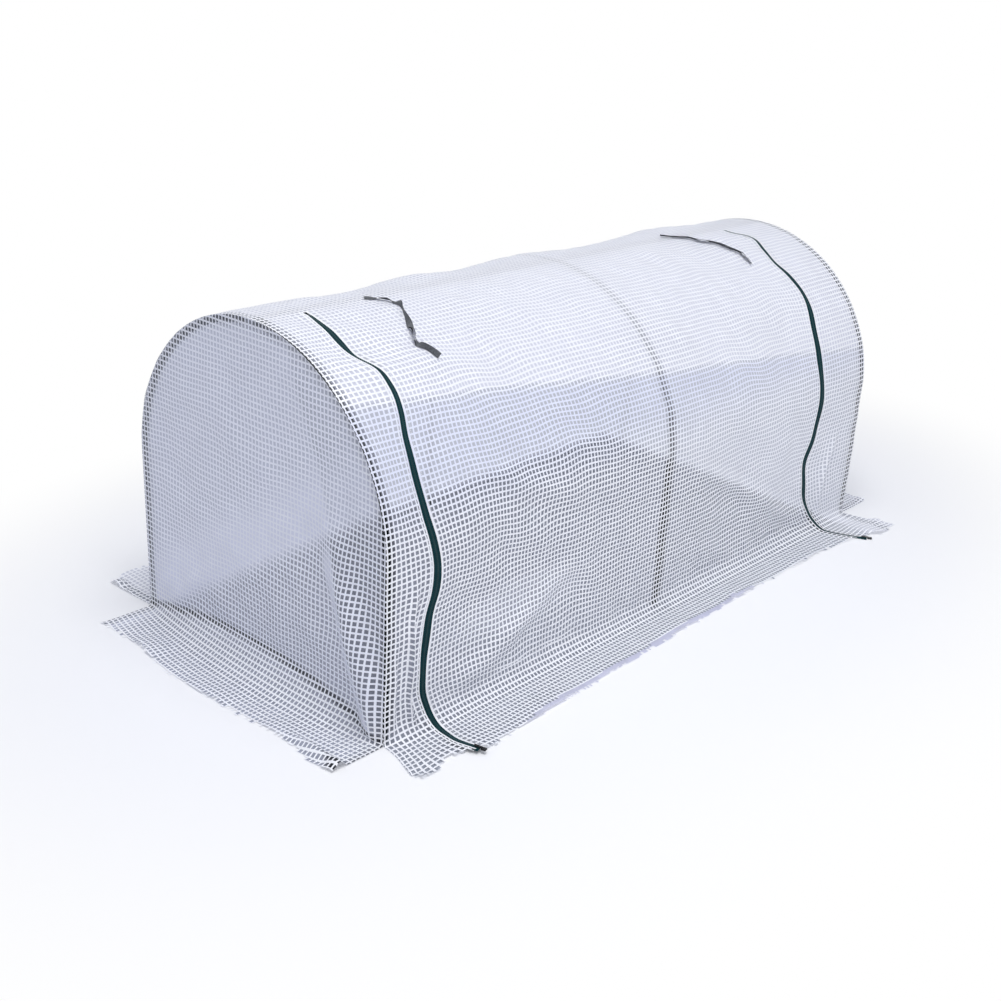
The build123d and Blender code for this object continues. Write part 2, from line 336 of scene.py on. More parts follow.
def main_sheet(u, v):
    """Point of the long sheet at u along the tunnel and v down from the ridge, near side positive."""
    run = np.abs(v)
    near = (v > 0).astype(float)
    (out, high), normal, tangent = side_outline(run, rise(np.abs(u), 0.945, 0.995))
    free = rise(run, 0.0, 0.10) * (1 - rise(run, WALL_END, FLARE_END))
    fold_lift, drawn_u, drawn_v = pulls(u, v, NEAR_FOLDS)
    along = u + zip_shift(u, v) + near * free * drawn_u
    along = along + 0.0022 * free * ripple(u, v, 0.28, seed=7)
    lift = slack_lift(u, v, free) + near * free * fold_lift
    # It can't sink into a hoop
    to_hoop = np.min([np.abs(along - x) for x in HOOP_X], axis=0)
    lift = np.where(lift < 0, lift * rise(to_hoop, TUBE, HOOP_REACH), lift)
    lift = lift + ground_wave(u, run, SHEET_RUN, rise(np.abs(u), 0.93, 1.0), seed=11)
    # Its corners spread out on the ground
    on_ground = rise(run, WALL_END + 0.4 * FLARE_RUN, SHEET_RUN)
    along = along + (0.008 + 0.037 * near) * on_ground * np.sign(u) * rise(np.abs(u), 0.90, 1.0)
    slide = free * (0.0075 * bay(u) * ripple(u, v, 0.22, seed=9) + near * drawn_v)
    y = np.where(v < 0, 1.0, -1.0) * (out + normal[0] * lift + slide * tangent[0])
    z = high + normal[1] * lift + slide * tangent[1]
    return along, y, np.clip(z, LEAST_HEIGHT, None)


def end_profile(u):
    """Length of the end wall down to its crease, then length, reach and turn of the bank below it."""
    height = CREASE * np.clip(1 - (u / ARCH_RADIUS) ** 2, 0.05, 1) ** 0.8
    turn = math.pi / 2 - CREASE_TURN
    bank = height * turn / (1 - math.sin(CREASE_TURN))
    return WALL_TOP + ARCH_RADIUS - height, bank, bank * math.cos(CREASE_TURN) / turn


def end_outline(u, v):
    """Outward reach, height and share of the bank passed, on the end wall, its bank and skirt."""
    wall, bank, _ = end_profile(u)
    part = np.clip((v - wall) / bank, 0, 1)
    bend = math.pi / 2 - CREASE_TURN
    angle = CREASE_TURN + bend * part
    out = HALF_LENGTH + bank * (math.cos(CREASE_TURN) - np.cos(angle)) / bend
    out = out + np.clip(v - wall - bank, 0, None)
    drop = bank * (np.sin(angle) - math.sin(CREASE_TURN)) / bend
    return out, WALL_TOP + ARCH_RADIUS - np.clip(v, 0, wall) - drop, part


def drawn_to_seam(side, high):
    """What lies past the arch's outline is drawn in to its seam."""
    over = np.hypot(side, np.clip(high - WALL_TOP, 0, None))
    past = (high > WALL_TOP) & (over > ARCH_RADIUS)
    shrink = np.where(past, ARCH_RADIUS / np.maximum(over, 1e-9), 1.0)
    return side * shrink, np.where(high > WALL_TOP, WALL_TOP + (high - WALL_TOP) * shrink, high)


def end_sheet(sign, folds, curled):
    """The end wall and its skirt: u is across and v is the distance down from the ridge line."""

    def place(u, v):
        out, high, part = end_outline(u, v)
        wall = end_profile(u)[0]
        rim = np.hypot(u, np.clip(high - WALL_TOP, 0, None)) / ARCH_RADIUS
        free = (1 - rise(rim, 0.72, 1.0)) * (1 - rise(v, wall - 0.03, wall + 0.03))
        fold_lift, drawn_u, drawn_v = pulls(u, v, folds)
        lift = free * (0.005 * ripple(u, v, 0.33, seed=21) + 0.0018 * ripple(u, v, 0.11, seed=23))
        lift = lift + rise(1 - rim, 0.0, 0.08) * (1 - part) * fold_lift
        lift = lift + ground_wave(u, v, END_RUN, 0.3 * rise(np.abs(u), 0.37, 0.45), seed=25)
        # One corner of the skirt is curled over
        edge = bump(out - HALF_LENGTH, 0.124, 0.022)
        lift = lift + curled * SKIRT_CURL * edge * rise(-u, 0.24, 0.36)
        turn = math.pi / 2 * part
        high = high + np.sin(turn) * lift - free * (drawn_v + 0.004 * ripple(u, v, 0.26, seed=28))
        side = u + free * (drawn_u + 0.002 * ripple(u, v, 0.25, seed=29))
        side, high = drawn_to_seam(side, high)
        return sign * (out + np.cos(turn) * lift), side, np.clip(high, LEAST_HEIGHT, None)
    return place


# Meshes


def grid_lines(start, end, pitch, hems=(0, 0)):
    """Edges of the tapes between two ends, and which strips between them are tape or hem."""
    centres = np.arange(math.ceil(start / pitch - 0.5), math.floor(end / pitch + 0.5) + 1) * pitch
    half = TAPE_SHARE * pitch / 2
    first, last = start + hems[0], end - hems[1]
    edges = np.sort(np.concatenate([centres - half, centres + half]))
    edges = edges[(edges > first + 1e-3) & (edges < last - 1e-3)]
    ends = [start, end] + [x for x, hem in ((first, hems[0]), (last, hems[1])) if hem]
    lines = np.sort(np.concatenate([ends, edges]))
    middles = (lines[:-1] + lines[1:]) / 2
    tape = np.abs(middles / pitch - np.round(middles / pitch)) * pitch < half
    return lines, tape | (middles < first) | (middles > last)


def mesh_object(name, points, faces, materials, indices, uvs=None, smooth=True):
    mesh = bpy.data.meshes.new(name)
    mesh.from_pydata(points.tolist() if hasattr(points, "tolist") else points, [], faces)
    for material in materials:
        mesh.materials.append(material)
    mesh.polygons.foreach_set("material_index", np.asarray(indices, np.int32))
    mesh.polygons.foreach_set("use_smooth", np.full(len(faces), smooth))
    if uvs is not None:
        layer = mesh.uv_layers.new(name="cloth")
        corner = np.zeros(len(mesh.loops), np.int32)
        mesh.loops.foreach_get("vertex_index", corner)
        layer.data.foreach_set("uv", uvs[corner].astype(np.float32).ravel())
    mesh.validate()
    mesh.update()
    obj = bpy.data.objects.new(name, mesh)
    bpy.context.scene.collection.objects.link(obj)
    return obj


def wavering(cut, u, seed):
    """Reach of a skirt's cut edge at u, with small wavers."""
    return smooth_line(cut, u) + CUT_JITTER * ripple(u, 0 * u, 0.035, seed)


def lattice(name, columns, rows, place, materials, keep, bare=None):
    """Sheet of tapes, windows and bare edge between grid lines, set out by place(u, v)."""
    (us, tape_u), (vs, tape_v) = columns, rows
    u, v = np.meshgrid(us, vs, indexing="ij")
    points = np.stack(place(u, v), axis=-1).reshape(-1, 3)
    index = np.arange(len(us) * len(vs)).reshape(len(us), len(vs))
    quads = np.stack([index[:-1, :-1], index[1:, :-1], index[1:, 1:], index[:-1, 1:]], axis=-1)
    window = ~(tape_u[:, None] | tape_v[None, :])
    middle_u = (u[:-1, :-1] + u[1:, 1:]) / 2
    middle_v = (v[:-1, :-1] + v[1:, 1:]) / 2
    # Windows go row by row at a cut edge, and the tapes that cross it end a little further out
    row = np.sign(middle_v) * np.ceil(np.abs(middle_v) / PITCH_DOWN) * PITCH_DOWN
    fringe = tape_u[:, None] & ~tape_v[None, :]
    end = middle_v + TAPE_END * np.sign(middle_v)
    wanted = keep(middle_u, np.where(fringe, end, np.where(window, row, middle_v * LAST_TAPE)))
    used, faces = np.unique(quads[wanted], return_inverse=True)
    uvs = np.stack([u, v], axis=-1).reshape(-1, 2)[used]
    faces = faces.reshape(-1, 4).tolist()
    kind = window[wanted].astype(int)
    if bare:
        kind[bare(middle_u, middle_v)[wanted]] = 2
    return mesh_object(name, points[used], faces, materials, kind, uvs)


def surface_line(place, u, v, proud):
    """Points on a sheet along a line of (u, v), with its direction, outward normal and side."""
    step = 1e-4
    centre, ahead, beside = (
        np.stack(place(u + du, v + dv), axis=-1) for du, dv in ((0, 0), (0, step), (step, 0))
    )
    normal = np.cross(beside - centre, ahead - centre)
    normal /= np.linalg.norm(normal, axis=1)[:, None]
    normal *= np.where((normal * (centre + (0, 0, 0.5))).sum(1) < 0, -1, 1)[:, None]
    run = np.gradient(centre, axis=0)
    run /= np.linalg.norm(run, axis=1)[:, None]
    side = np.cross(normal, run)
    return centre + proud * normal, run, normal, side


def even_points(line, pitch):
    """The same line at even steps of length."""
    points = line[0]
    length = np.concatenate([[0], np.cumsum(np.linalg.norm(np.diff(points, axis=0), axis=1))])
    at = np.arange(pitch / 2, length[-1], pitch)
    return [np.stack([np.interp(at, length, part[:, k]) for k in range(3)], axis=-1) for part in line]


def strip_mesh(line, offsets, lifts):
    """Vertices and faces of a long strip: a point for each offset to the side at each step."""
    centre, _, normal, side = (part[:, None] for part in line)
    points = centre + side * np.array(offsets)[:, None] + normal * np.array(lifts)[:, None]
    count, across = points.shape[:2]
    index = np.arange(count * across).reshape(count, across)
    quads = np.stack([index[:-1, :-1], index[1:, :-1], index[1:, 1:], index[:-1, 1:]], axis=-1)
    return points.reshape(-1, 3), quads.reshape(-1, 4)


def row_of_studs(line, pitch, length, section, stagger=0.0):
    """Vertices and faces of small raised bars set across or along a line at an even pitch."""
    centre, run, normal, side = even_points(line, pitch)
    shift = side * (stagger * (np.arange(len(centre)) % 2 - 0.5))[:, None]
    ends = [centre + shift - run * length / 2, centre + shift + run * length / 2]
    points = np.stack(
        [end + side * x + normal * z for end in ends for x, z in section], axis=1
    )
    n = len(section)
    faces = [(k, k + 1, n + k + 1, n + k) for k in range(n - 1)] + [(3, 2, 1, 0), (4, 5, 6, 7)]
    quads = np.arange(len(points))[:, None, None] * 2 * n + np.array(faces)
    return points.reshape(-1, 3), quads.reshape(-1, 4)


def joined(parts):
    """One set of vertices and faces from several."""
    points, faces, start = [], [], 0
    for part_points, part_faces in parts:
        points.append(part_points)
        faces.append(part_faces + start)
        start += len(part_points)
    return np.concatenate(points), np.concatenate(faces)


# Materials


def new_material(name):
    material = bpy.data.materials.new(name)
    material.use_nodes = True
    material.node_tree.nodes.clear()
    return material, material.node_tree


def node(tree, kind, inputs=None, **settings):
    made = tree.nodes.new(kind)
    for key, value in settings.items():
        setattr(made, key, value)
    for key, value in (inputs or {}).items():
        if isinstance(value, bpy.types.NodeSocket):
            tree.links.new(value, made.inputs[key])
        else:
            made.inputs[key].default_value = value
    return made


def noise(tree, scale, detail=3.0, vector=None):
    inputs = {"Scale": scale, "Detail": detail}
    if vector:
        inputs["Vector"] = vector
    return node(tree, "ShaderNodeTexNoise", inputs).outputs["Fac"]


def ramp(tree, factor, low, high, start=0.3, end=0.7):
    made = node(tree, "ShaderNodeValToRGB", {"Fac": factor})
    made.color_ramp.elements[0].position = start
    made.color_ramp.elements[1].position = end
    made.color_ramp.elements[0].color = (*low, 1)
    made.color_ramp.elements[1].color = (*high, 1)
    return made.outputs["Color"]


def object_place(tree):
    return node(tree, "ShaderNodeTexCoord").outputs["Object"]


def spread(tree, value, start, end, low, high):
    """Smooth step of a value between two levels."""
    return node(tree, "ShaderNodeMapRange", {
        "Value": value, "From Min": start, "From Max": end, "To Min": low, "To Max": high,
    }, interpolation_type="SMOOTHSTEP").outputs["Result"]


def sums(tree, operation, *values):
    return node(tree, "ShaderNodeMath", dict(enumerate(values)), operation=operation).outputs[0]


def apart(tree, value, other):
    return sums(tree, "ABSOLUTE", sums(tree, "SUBTRACT", value, other))


def place_parts(tree):
    parts = node(tree, "ShaderNodeSeparateXYZ", {0: object_place(tree)}).outputs
    return parts["X"], parts["Y"], parts["Z"]


def tape_material(name, low, high, glow, painted_shade_of=None):
    """White woven tape under clear film: fine threads along it, and light through it. Where a mask is
    given, painted shade makes it darker and bluer.
    """
    material, tree = new_material(name)
    place = object_place(tree)
    colour = ramp(tree, noise(tree, 26, 4, place), low, high)
    if painted_shade_of:
        # Painted shade: where the mask is high the tape is darker and bluer, for light that falls less
        # there
        painted_shade_tint = ramp(tree, painted_shade_of(tree), (1, 1, 1), (0.81, 0.83, 0.92), 0, 1)
        colour = node(tree, "ShaderNodeVectorMath", {0: colour, 1: painted_shade_tint}, operation="MULTIPLY").outputs[0]
    uv = node(tree, "ShaderNodeTexCoord").outputs["UV"]
    threads = node(tree, "ShaderNodeTexWave", {"Vector": uv, "Scale": 160.0, "Distortion": 0.4},
                   wave_type="BANDS", bands_direction="DIAGONAL").outputs["Fac"]
    relief = node(tree, "ShaderNodeBump", {"Height": threads, "Strength": 0.25, "Distance": 0.0004})
    surface = node(tree, "ShaderNodeBsdfPrincipled", {
        "Base Color": colour, "Roughness": 0.42, "Normal": relief.outputs["Normal"]})
    through = node(tree, "ShaderNodeBsdfTranslucent", {"Color": colour})
    mixed = node(tree, "ShaderNodeMixShader", {
        0: glow, 1: surface.outputs[0], 2: through.outputs[0]})
    node(tree, "ShaderNodeOutputMaterial", {"Surface": mixed.outputs[0]})
    return material


# Where the film is cloudy, and where painted light and painted shade fall on film and tapes, by their place
# on the tunnel.
# A pair holds the two levels between which one look passes into the other.

TOUCHING = (0.008, 0.022)  # distance from a hoop
BROW = (0.632, 0.66)  # tilted height at which the cloudy roof, a painted reflection of the sky, starts
BROW_TILT = 0.10
FRONT_CLOUD = (0.24, 0.30)  # tilted height at which the front wall turns cloudy, painted light of the far wall seen through
ON_CREASE = (0.004, 0.016)  # distance from the crease of the front wall
FOLD_SLOPE, FOLD_FOOT = 0.37, -0.441  # the front wall's long fold, across for each height
PATCH_MIDDLE, PATCH_HALF = (-0.56, 0.21), (0.26, 0.075)  # cloudy patch low on the side


def clearer(tree, haze, to_hoop, share):
    """Haze that falls to a share of itself where the film lies against a hoop."""
    touching = spread(tree, to_hoop, *TOUCHING, 1.0, 0.0)
    kept = sums(tree, "MULTIPLY_ADD", touching, sums(tree, "SUBTRACT", share, 1.0), 1.0)
    return sums(tree, "MULTIPLY", haze, kept)


def beside_hoops(tree):
    """Distance along a long sheet to its nearest hoop, then from its middle, then height."""
    x, _, z = place_parts(tree)
    x = sums(tree, "ABSOLUTE", x)
    return sums(tree, "MINIMUM", x, apart(tree, x, HOOP_X[2])), x, z


def along_hoops(tree, haze):
    """Haze of a long sheet, with the end hoops showing through it more than the middle one."""
    to_hoop, from_middle, z = beside_hoops(tree)
    share = sums(tree, "MULTIPLY", spread(tree, z, 0.45, 0.85, 0.30, 0.85),
                 spread(tree, from_middle, 0.5, 0.6, 1.0, 0.3))
    return clearer(tree, haze, to_hoop, share)


def round_arch(tree, haze, share=0.3):
    """Haze of an end wall, clearer along its leg and arch tubes."""
    _, y, z = place_parts(tree)
    over = sums(tree, "MAXIMUM", sums(tree, "SUBTRACT", z, WALL_TOP), 0.0)
    square = sums(tree, "MULTIPLY_ADD", over, over, sums(tree, "MULTIPLY", y, y))
    return clearer(tree, haze, apart(tree, sums(tree, "SQRT", square), HOOP_Y), share)


def brow_height(tree):
    """Height on the side, tilted as the brow is where the cloudy roof, a painted reflection of the sky,
    starts.
    """
    x, _, z = place_parts(tree)
    return sums(tree, "MULTIPLY_ADD", x, BROW_TILT, z)


def side_painted_shade(tree):
    """Painted shade: tapes of the side are darker and bluer in a band under the brow, where the wall takes
    less light than the roof.
    """
    return sums(tree, "MULTIPLY", spread(tree, brow_height(tree), *BROW, 1.0, 0.0),
                spread(tree, place_parts(tree)[2], 0.44, 0.62, 0.0, 1.0))


def front_painted_shade(tree):
    """Painted shade: tapes of the front wall are darker and bluer than its skirt's, as the wall stands in
    shade.
    """
    return spread(tree, place_parts(tree)[2], 0.02, 0.10, 0.0, 0.55)


def hoop_shade(tree):
    """Painted shade: darker where the side lies against a hoop, off the ground and less so up on the arch.
    """
    to_hoop, _, z = beside_hoops(tree)
    upright = sums(tree, "MULTIPLY", spread(tree, z, 0.5, 0.7, 1.0, 0.2),
                   spread(tree, z, 0.02, 0.06, 0.0, 1.0))
    return sums(tree, "MULTIPLY", spread(tree, to_hoop, 0.010, 0.022, 1.0, 0.0), upright)


def low_patch(tree):
    """Cloudy oval low on the side, in front."""
    x, _, z = place_parts(tree)
    across, up = (sums(tree, "MULTIPLY_ADD", part, 1 / half, -middle / half)
                  for part, middle, half in zip((x, z), PATCH_MIDDLE, PATCH_HALF))
    square = sums(tree, "MULTIPLY_ADD", across, across, sums(tree, "MULTIPLY", up, up))
    return spread(tree, square, 0.3, 1.3, 0.28, 0.0)


def side_haze_and_painted_light(tree):
    """Clear low on the side, cloudy up on the roof, in the lower rear corner and in a patch. The roof's and
    the corner's cloud are painted light over the film's own milkiness: the sky's reflection on the roof and
    the lit far wall seen through the side.
    """
    x, _, z = place_parts(tree)
    # Painted reflection: milky above the brow, where the roof would catch the sky
    roof = spread(tree, brow_height(tree), *BROW, 0.0, 0.90)
    # Painted light: milky above a slanting line, where the lit far wall shows through
    slanted = sums(tree, "MULTIPLY_ADD", sums(tree, "MAXIMUM", x, -0.266), 0.47, z)
    cloudy = sums(tree, "MULTIPLY_ADD", spread(tree, slanted, 0.415, 0.445, 0.0, 1.0),
                  spread(tree, x, -0.3, 0.2, 0.57, 0.64), 0.05)
    cloudy = sums(tree, "MAXIMUM", cloudy, low_patch(tree))
    return along_hoops(tree, sums(tree, "MAXIMUM", roof, cloudy))


# Painted light over the film's own milkiness: the far side's film is far milkier than the near side's, so
# the far side looks lit from behind
def far_haze_and_painted_glow(tree):
    return along_hoops(tree, spread(tree, place_parts(tree)[2], 0.40, 0.47, 0.80, 0.84))


def front_parts(tree):
    """Distance from the front wall's crease, distance past its fold, and tilted height."""
    _, y, z = place_parts(tree)
    crease = sums(tree, "MULTIPLY_ADD", sums(tree, "MULTIPLY", y, y), -CREASE_DROP, CREASE)
    beside = sums(tree, "SUBTRACT", y, sums(tree, "MULTIPLY_ADD", z, FOLD_SLOPE, FOLD_FOOT))
    return apart(tree, z, crease), beside, sums(tree, "MULTIPLY_ADD", y, 0.65, z)


def front_shade(tree):
    """Painted shade along the crease, where the film is clear and dark, and a lesser darkening between the
    fold and the near leg.
    """
    from_crease, beside, slanted = front_parts(tree)
    corner = sums(tree, "MULTIPLY", spread(tree, beside, -0.01, 0.01, 0.36, 0.0),
                  spread(tree, slanted, *FRONT_CLOUD, 1.0, 0.0))
    return sums(tree, "MAXIMUM", spread(tree, from_crease, *ON_CREASE, 1.0, 0.0), corner)


def fold_haze_and_painted_light(tree, beside, slanted):
    """Painted light: cloudy down the far slope of the front wall's fold, above the skirt."""
    slope = sums(tree, "MINIMUM", spread(tree, beside, -0.005, 0.012, 0.0, 0.92),
                 spread(tree, beside, 0.045, 0.075, 0.92, 0.0))
    low = sums(tree, "MULTIPLY", spread(tree, slanted, 0.20, 0.30, 1.0, 0.0),
               spread(tree, place_parts(tree)[2], 0.01, 0.04, 0.0, 1.0))
    return sums(tree, "MULTIPLY", slope, low)


def front_haze_and_painted_light(tree):
    """Cloudy above a slanting line and down the fold, and clear beside the near leg and along the crease.
    The cloud is painted light over the film's own milkiness: the lit far wall seen through, and the sky's
    reflection on the fold.
    """
    from_crease, beside, slanted = front_parts(tree)
    # Painted light: milky above a slanting line, where the lit far wall shows through
    cloudy = sums(tree, "ADD", spread(tree, slanted, *FRONT_CLOUD, 0.0, 0.69),
                  spread(tree, slanted, 0.36, 0.50, 0.0, -0.25))
    haze = sums(tree, "ADD", cloudy, spread(tree, beside, -0.01, 0.01, 0.08, 0.26))
    haze = sums(tree, "MAXIMUM", haze, fold_haze_and_painted_light(tree, beside, slanted))
    # Less milk along the crease, so that its painted shade shows
    haze = sums(tree, "MULTIPLY", haze, spread(tree, from_crease, *ON_CREASE, 0.2, 1.0))
    _, y, z = place_parts(tree)
    shoulder = sums(tree, "MULTIPLY", spread(tree, z, 0.44, 0.52, 0.0, 0.8),
                    spread(tree, y, -0.15, -0.05, 1.0, 0.0))
    return round_arch(tree, haze, sums(tree, "ADD", shoulder, 0.3))


# Painted light over the film's own milkiness: the rear wall's film is milky, more so off the ground, so it
# looks lit from behind
def rear_haze_and_painted_glow(tree):
    return round_arch(tree, spread(tree, place_parts(tree)[2], 0.0, 0.1, 0.6, 0.85))


def edge_haze(tree):
    """Evenly cloudy film along the bare edge."""
    return spread(tree, noise(tree, 30, 3, object_place(tree)), 0.3, 0.7, 0.80, 0.95)


def faint_shade(tree):
    """Soft unevenness of clear film."""
    return noise(tree, 5, 2, object_place(tree))


def film_material(name, tint, body, milk_and_painted_light_of, shade_of=faint_shade, depth=0.94):
    """Clear film in the windows, milky with faint streaks. Where the milk lies is partly the film's own
    haze and partly painted light. The clear part is darkened by a mask that is painted shade against the
    hoops and along the front crease, and random unevenness elsewhere.
    """
    material, tree = new_material(name)
    colour = ramp(tree, noise(tree, 7, 3, object_place(tree)), tuple(0.94 * c for c in body), body)
    surface = node(tree, "ShaderNodeBsdfPrincipled", {"Base Color": colour, "Roughness": 0.3})
    through = node(tree, "ShaderNodeBsdfTranslucent", {"Color": colour})
    milk = node(tree, "ShaderNodeMixShader", {0: 0.5, 1: surface.outputs[0], 2: through.outputs[0]})
    # The clear film darkens towards depth times its tint by the shade mask: painted shade on the near side
    # and front wall, random unevenness elsewhere
    shade = ramp(tree, shade_of(tree), tint, tuple(depth * c for c in tint), 0, 1)
    clear = node(tree, "ShaderNodeBsdfTransparent", {"Color": shade})
    mixed = node(tree, "ShaderNodeMixShader", {0: milk_and_painted_light_of(tree), 1: clear.outputs[0], 2: milk.outputs[0]})
    node(tree, "ShaderNodeOutputMaterial", {"Surface": mixed.outputs[0]})
    return material


def plain_material(name, low, high, roughness, scale=40.0, metallic=0.0, gloss=0.5):
    material, tree = new_material(name)
    place = object_place(tree)
    speckle = noise(tree, scale, 4, place)
    colour = ramp(tree, speckle, low, high)
    fine = noise(tree, scale * 12, 2, place)
    relief = node(tree, "ShaderNodeBump", {"Height": fine, "Strength": 0.4, "Distance": 0.0002})
    surface = node(tree, "ShaderNodeBsdfPrincipled", {
        "Base Color": colour, "Roughness": roughness, "Metallic": metallic,
        "Specular IOR Level": gloss, "Normal": relief.outputs["Normal"]})
    node(tree, "ShaderNodeOutputMaterial", {"Surface": surface.outputs[0]})
    return material


TAPE = ((0.88, 0.89, 0.93), (0.94, 0.95, 0.98), 0.12)
FILM_TINT = (0.50, 0.52, 0.57)
FILM_MILK = (0.83, 0.845, 0.93)
tape = tape_material("tape_white", *TAPE)
# Shaded copies of the tape: painted shade in a band under the brow on the side, and on the front wall
tape_near_painted_shade = tape_material("tape_near_painted_shade", *TAPE, side_painted_shade)
tape_front_painted_shade = tape_material("tape_front_painted_shade", *TAPE, front_painted_shade)
# Near side: painted shade against the hoops
film_near = film_material("film_near", FILM_TINT, FILM_MILK, side_haze_and_painted_light, hoop_shade, 0.4)
film_edge = film_material("film_edge", FILM_TINT, (0.74, 0.745, 0.87), edge_haze)
film_far = film_material("film_far", FILM_TINT, FILM_MILK, far_haze_and_painted_glow)
# Front wall: its milk is bluer, a painted tint for the shade it stands in, and its clear film takes painted
# shade along the crease
film_front = film_material("film_front", FILM_TINT, (0.79, 0.815, 0.95), front_haze_and_painted_light, front_shade, 0.15)
film_rear = film_material("film_rear", FILM_TINT, FILM_MILK, rear_haze_and_painted_glow)
steel = plain_material("steel_green_coat", (0.006, 0.014, 0.012), (0.014, 0.026, 0.022), 0.38)
plastic = plain_material("plastic_pale", (0.60, 0.61, 0.60), (0.72, 0.73, 0.71), 0.45)
zip_green = plain_material(
    "zip_green", (0.001, 0.020, 0.026), (0.003, 0.034, 0.042), 0.7, 220.0, gloss=0.12)
coil_green = plain_material(
    "coil_green", (0.002, 0.026, 0.032), (0.004, 0.044, 0.052), 0.5, 150.0, gloss=0.25)
ribbon_dark = plain_material("ribbon_dark", (0.045, 0.050, 0.058), (0.090, 0.096, 0.11), 0.6, 220.0)
thread = plain_material("thread_white", (0.80, 0.81, 0.84), (0.88, 0.89, 0.91), 0.6, 300.0)
slider_metal = plain_material("slider_black", (0.01, 0.01, 0.012), (0.03, 0.03, 0.032), 0.35, 120.0, 0.6)

# Cover

down_near = grid_lines(SEAM_SETBACK, SHEET_RUN, PITCH_DOWN)
down_far = grid_lines(-SHEET_RUN - SPARE, SEAM_SETBACK, PITCH_DOWN)


def lapped_sheet(u, v):
    return main_sheet(u + zip_lap(u, v), v)


# Cut edges: which part of a sheet is kept, and which part of the near skirt has no tapes


def near_cut(u, v):
    return v < FROM_MIDDLE + wavering(NEAR_CUT, u, seed=31)


def near_bare(u, v):
    width = BARE_EDGE * rise(u, -0.78, -0.58) * (1 - rise(u, 0.20, 0.42))
    return (width > CUT_JITTER) & (v > FROM_MIDDLE + smooth_line(NEAR_CUT, u) - width)


def far_cut(u, v):
    return -v < FROM_MIDDLE + wavering(FAR_CUT, u, seed=33)


near_strips = {
    "near_front": (-HALF_LENGTH, ZIP_X[0] - ZIP_EDGE, (0, HEM)),
    "door": (ZIP_X[0] + ZIP_EDGE, ZIP_X[1] - ZIP_EDGE, (HEM, HEM)),
    "near_rear": (ZIP_X[1] + ZIP_EDGE, HALF_LENGTH, (HEM, 0)),
}


def declare_sheet(obj):
    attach(obj, "root")


for strip, (start, end, hems) in near_strips.items():
    columns = grid_lines(start, end, PITCH_ALONG, hems)
    materials = [tape_near_painted_shade, film_near, film_edge]
    sheet = lattice(f"cover_{strip}", columns, down_near, lapped_sheet, materials, near_cut, near_bare)
    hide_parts(f"{strip}_skirt", f"{strip}_wall", f"{strip}_roof")
    declare_sheet(sheet)

whole = grid_lines(-HALF_LENGTH, HALF_LENGTH, PITCH_ALONG)
far_side = lattice("cover_far", whole, down_far, main_sheet, [tape, film_far], far_cut)
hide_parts("far_skirt", "far_wall", "far_roof")
declare_sheet(far_side)


def within_end(u, v):
    high = WALL_TOP + ARCH_RADIUS - v
    arch = (high < WALL_TOP) | (np.hypot(u, high - WALL_TOP) < ARCH_RADIUS + 0.004)
    wall, bank, bank_reach = end_profile(u)
    return arch & (v < wall + bank - bank_reach - HALF_LENGTH + wavering(END_CUT, u, seed=35))


ends = (("front", -1, FRONT_FOLDS, 1, [tape_front_painted_shade, film_front]),
        ("rear", 1, REAR_FOLDS, 0, [tape, film_rear]))
for station, sign, folds, curled, materials in ends:
    across = grid_lines(-ARCH_RADIUS, ARCH_RADIUS, PITCH_ACROSS)
    down = grid_lines(0, END_RUN, PITCH_DOWN)
    place = end_sheet(sign, folds, curled)
    panel = lattice(f"cover_end_{station}", across, down, place, materials, within_end)
    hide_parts(f"end_panel_{station}", f"skirt_{station}")
    declare_sheet(panel)

# Zips follow the wander of the cover: woven tape, a coil down its middle, stitches either side


def zip_line(i, offset, proud):
    v = np.linspace(ZIP_TOP[i], SHEET_RUN - ZIP_TAIL, 700)
    return surface_line(main_sheet, np.full_like(v, ZIP_X[i] + offset), v, proud)


def zip_tape(i, station):
    strip = strip_mesh(zip_line(i, 0, ZIP_PROUD), TAPE_OFFSETS, TAPE_LIFTS)
    teeth = row_of_studs(zip_line(i, 0, ZIP_PROUD + TOOTH_PROUD), TOOTH_PITCH, TOOTH_LENGTH,
                         TOOTH_SECTION, TOOTH_STAGGER)
    points, faces = joined([strip, teeth])
    finishes = np.repeat([0, 1], [len(strip[1]), len(teeth[1])])
    piece = mesh_object(f"zip_tape_{station}", points, faces.tolist(), [zip_green, coil_green], finishes)
    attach(piece, "root")
    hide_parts(f"zip_{station}")


def zip_stitches(i, station):
    """A row of stitches in the cover on each side of the zip."""
    lines = [zip_line(i, side * (ZIP_EDGE + STITCH_INSET), STITCH_PROUD) for side in (-1, 1)]
    seams = [row_of_studs(line, STITCH_PITCH, STITCH_LENGTH, STITCH_SECTION) for line in lines]
    points, faces = joined(seams)
    piece = mesh_object(f"zip_stitches_{station}", points, faces.tolist(), [thread], np.zeros(len(faces)))
    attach(piece, "root")


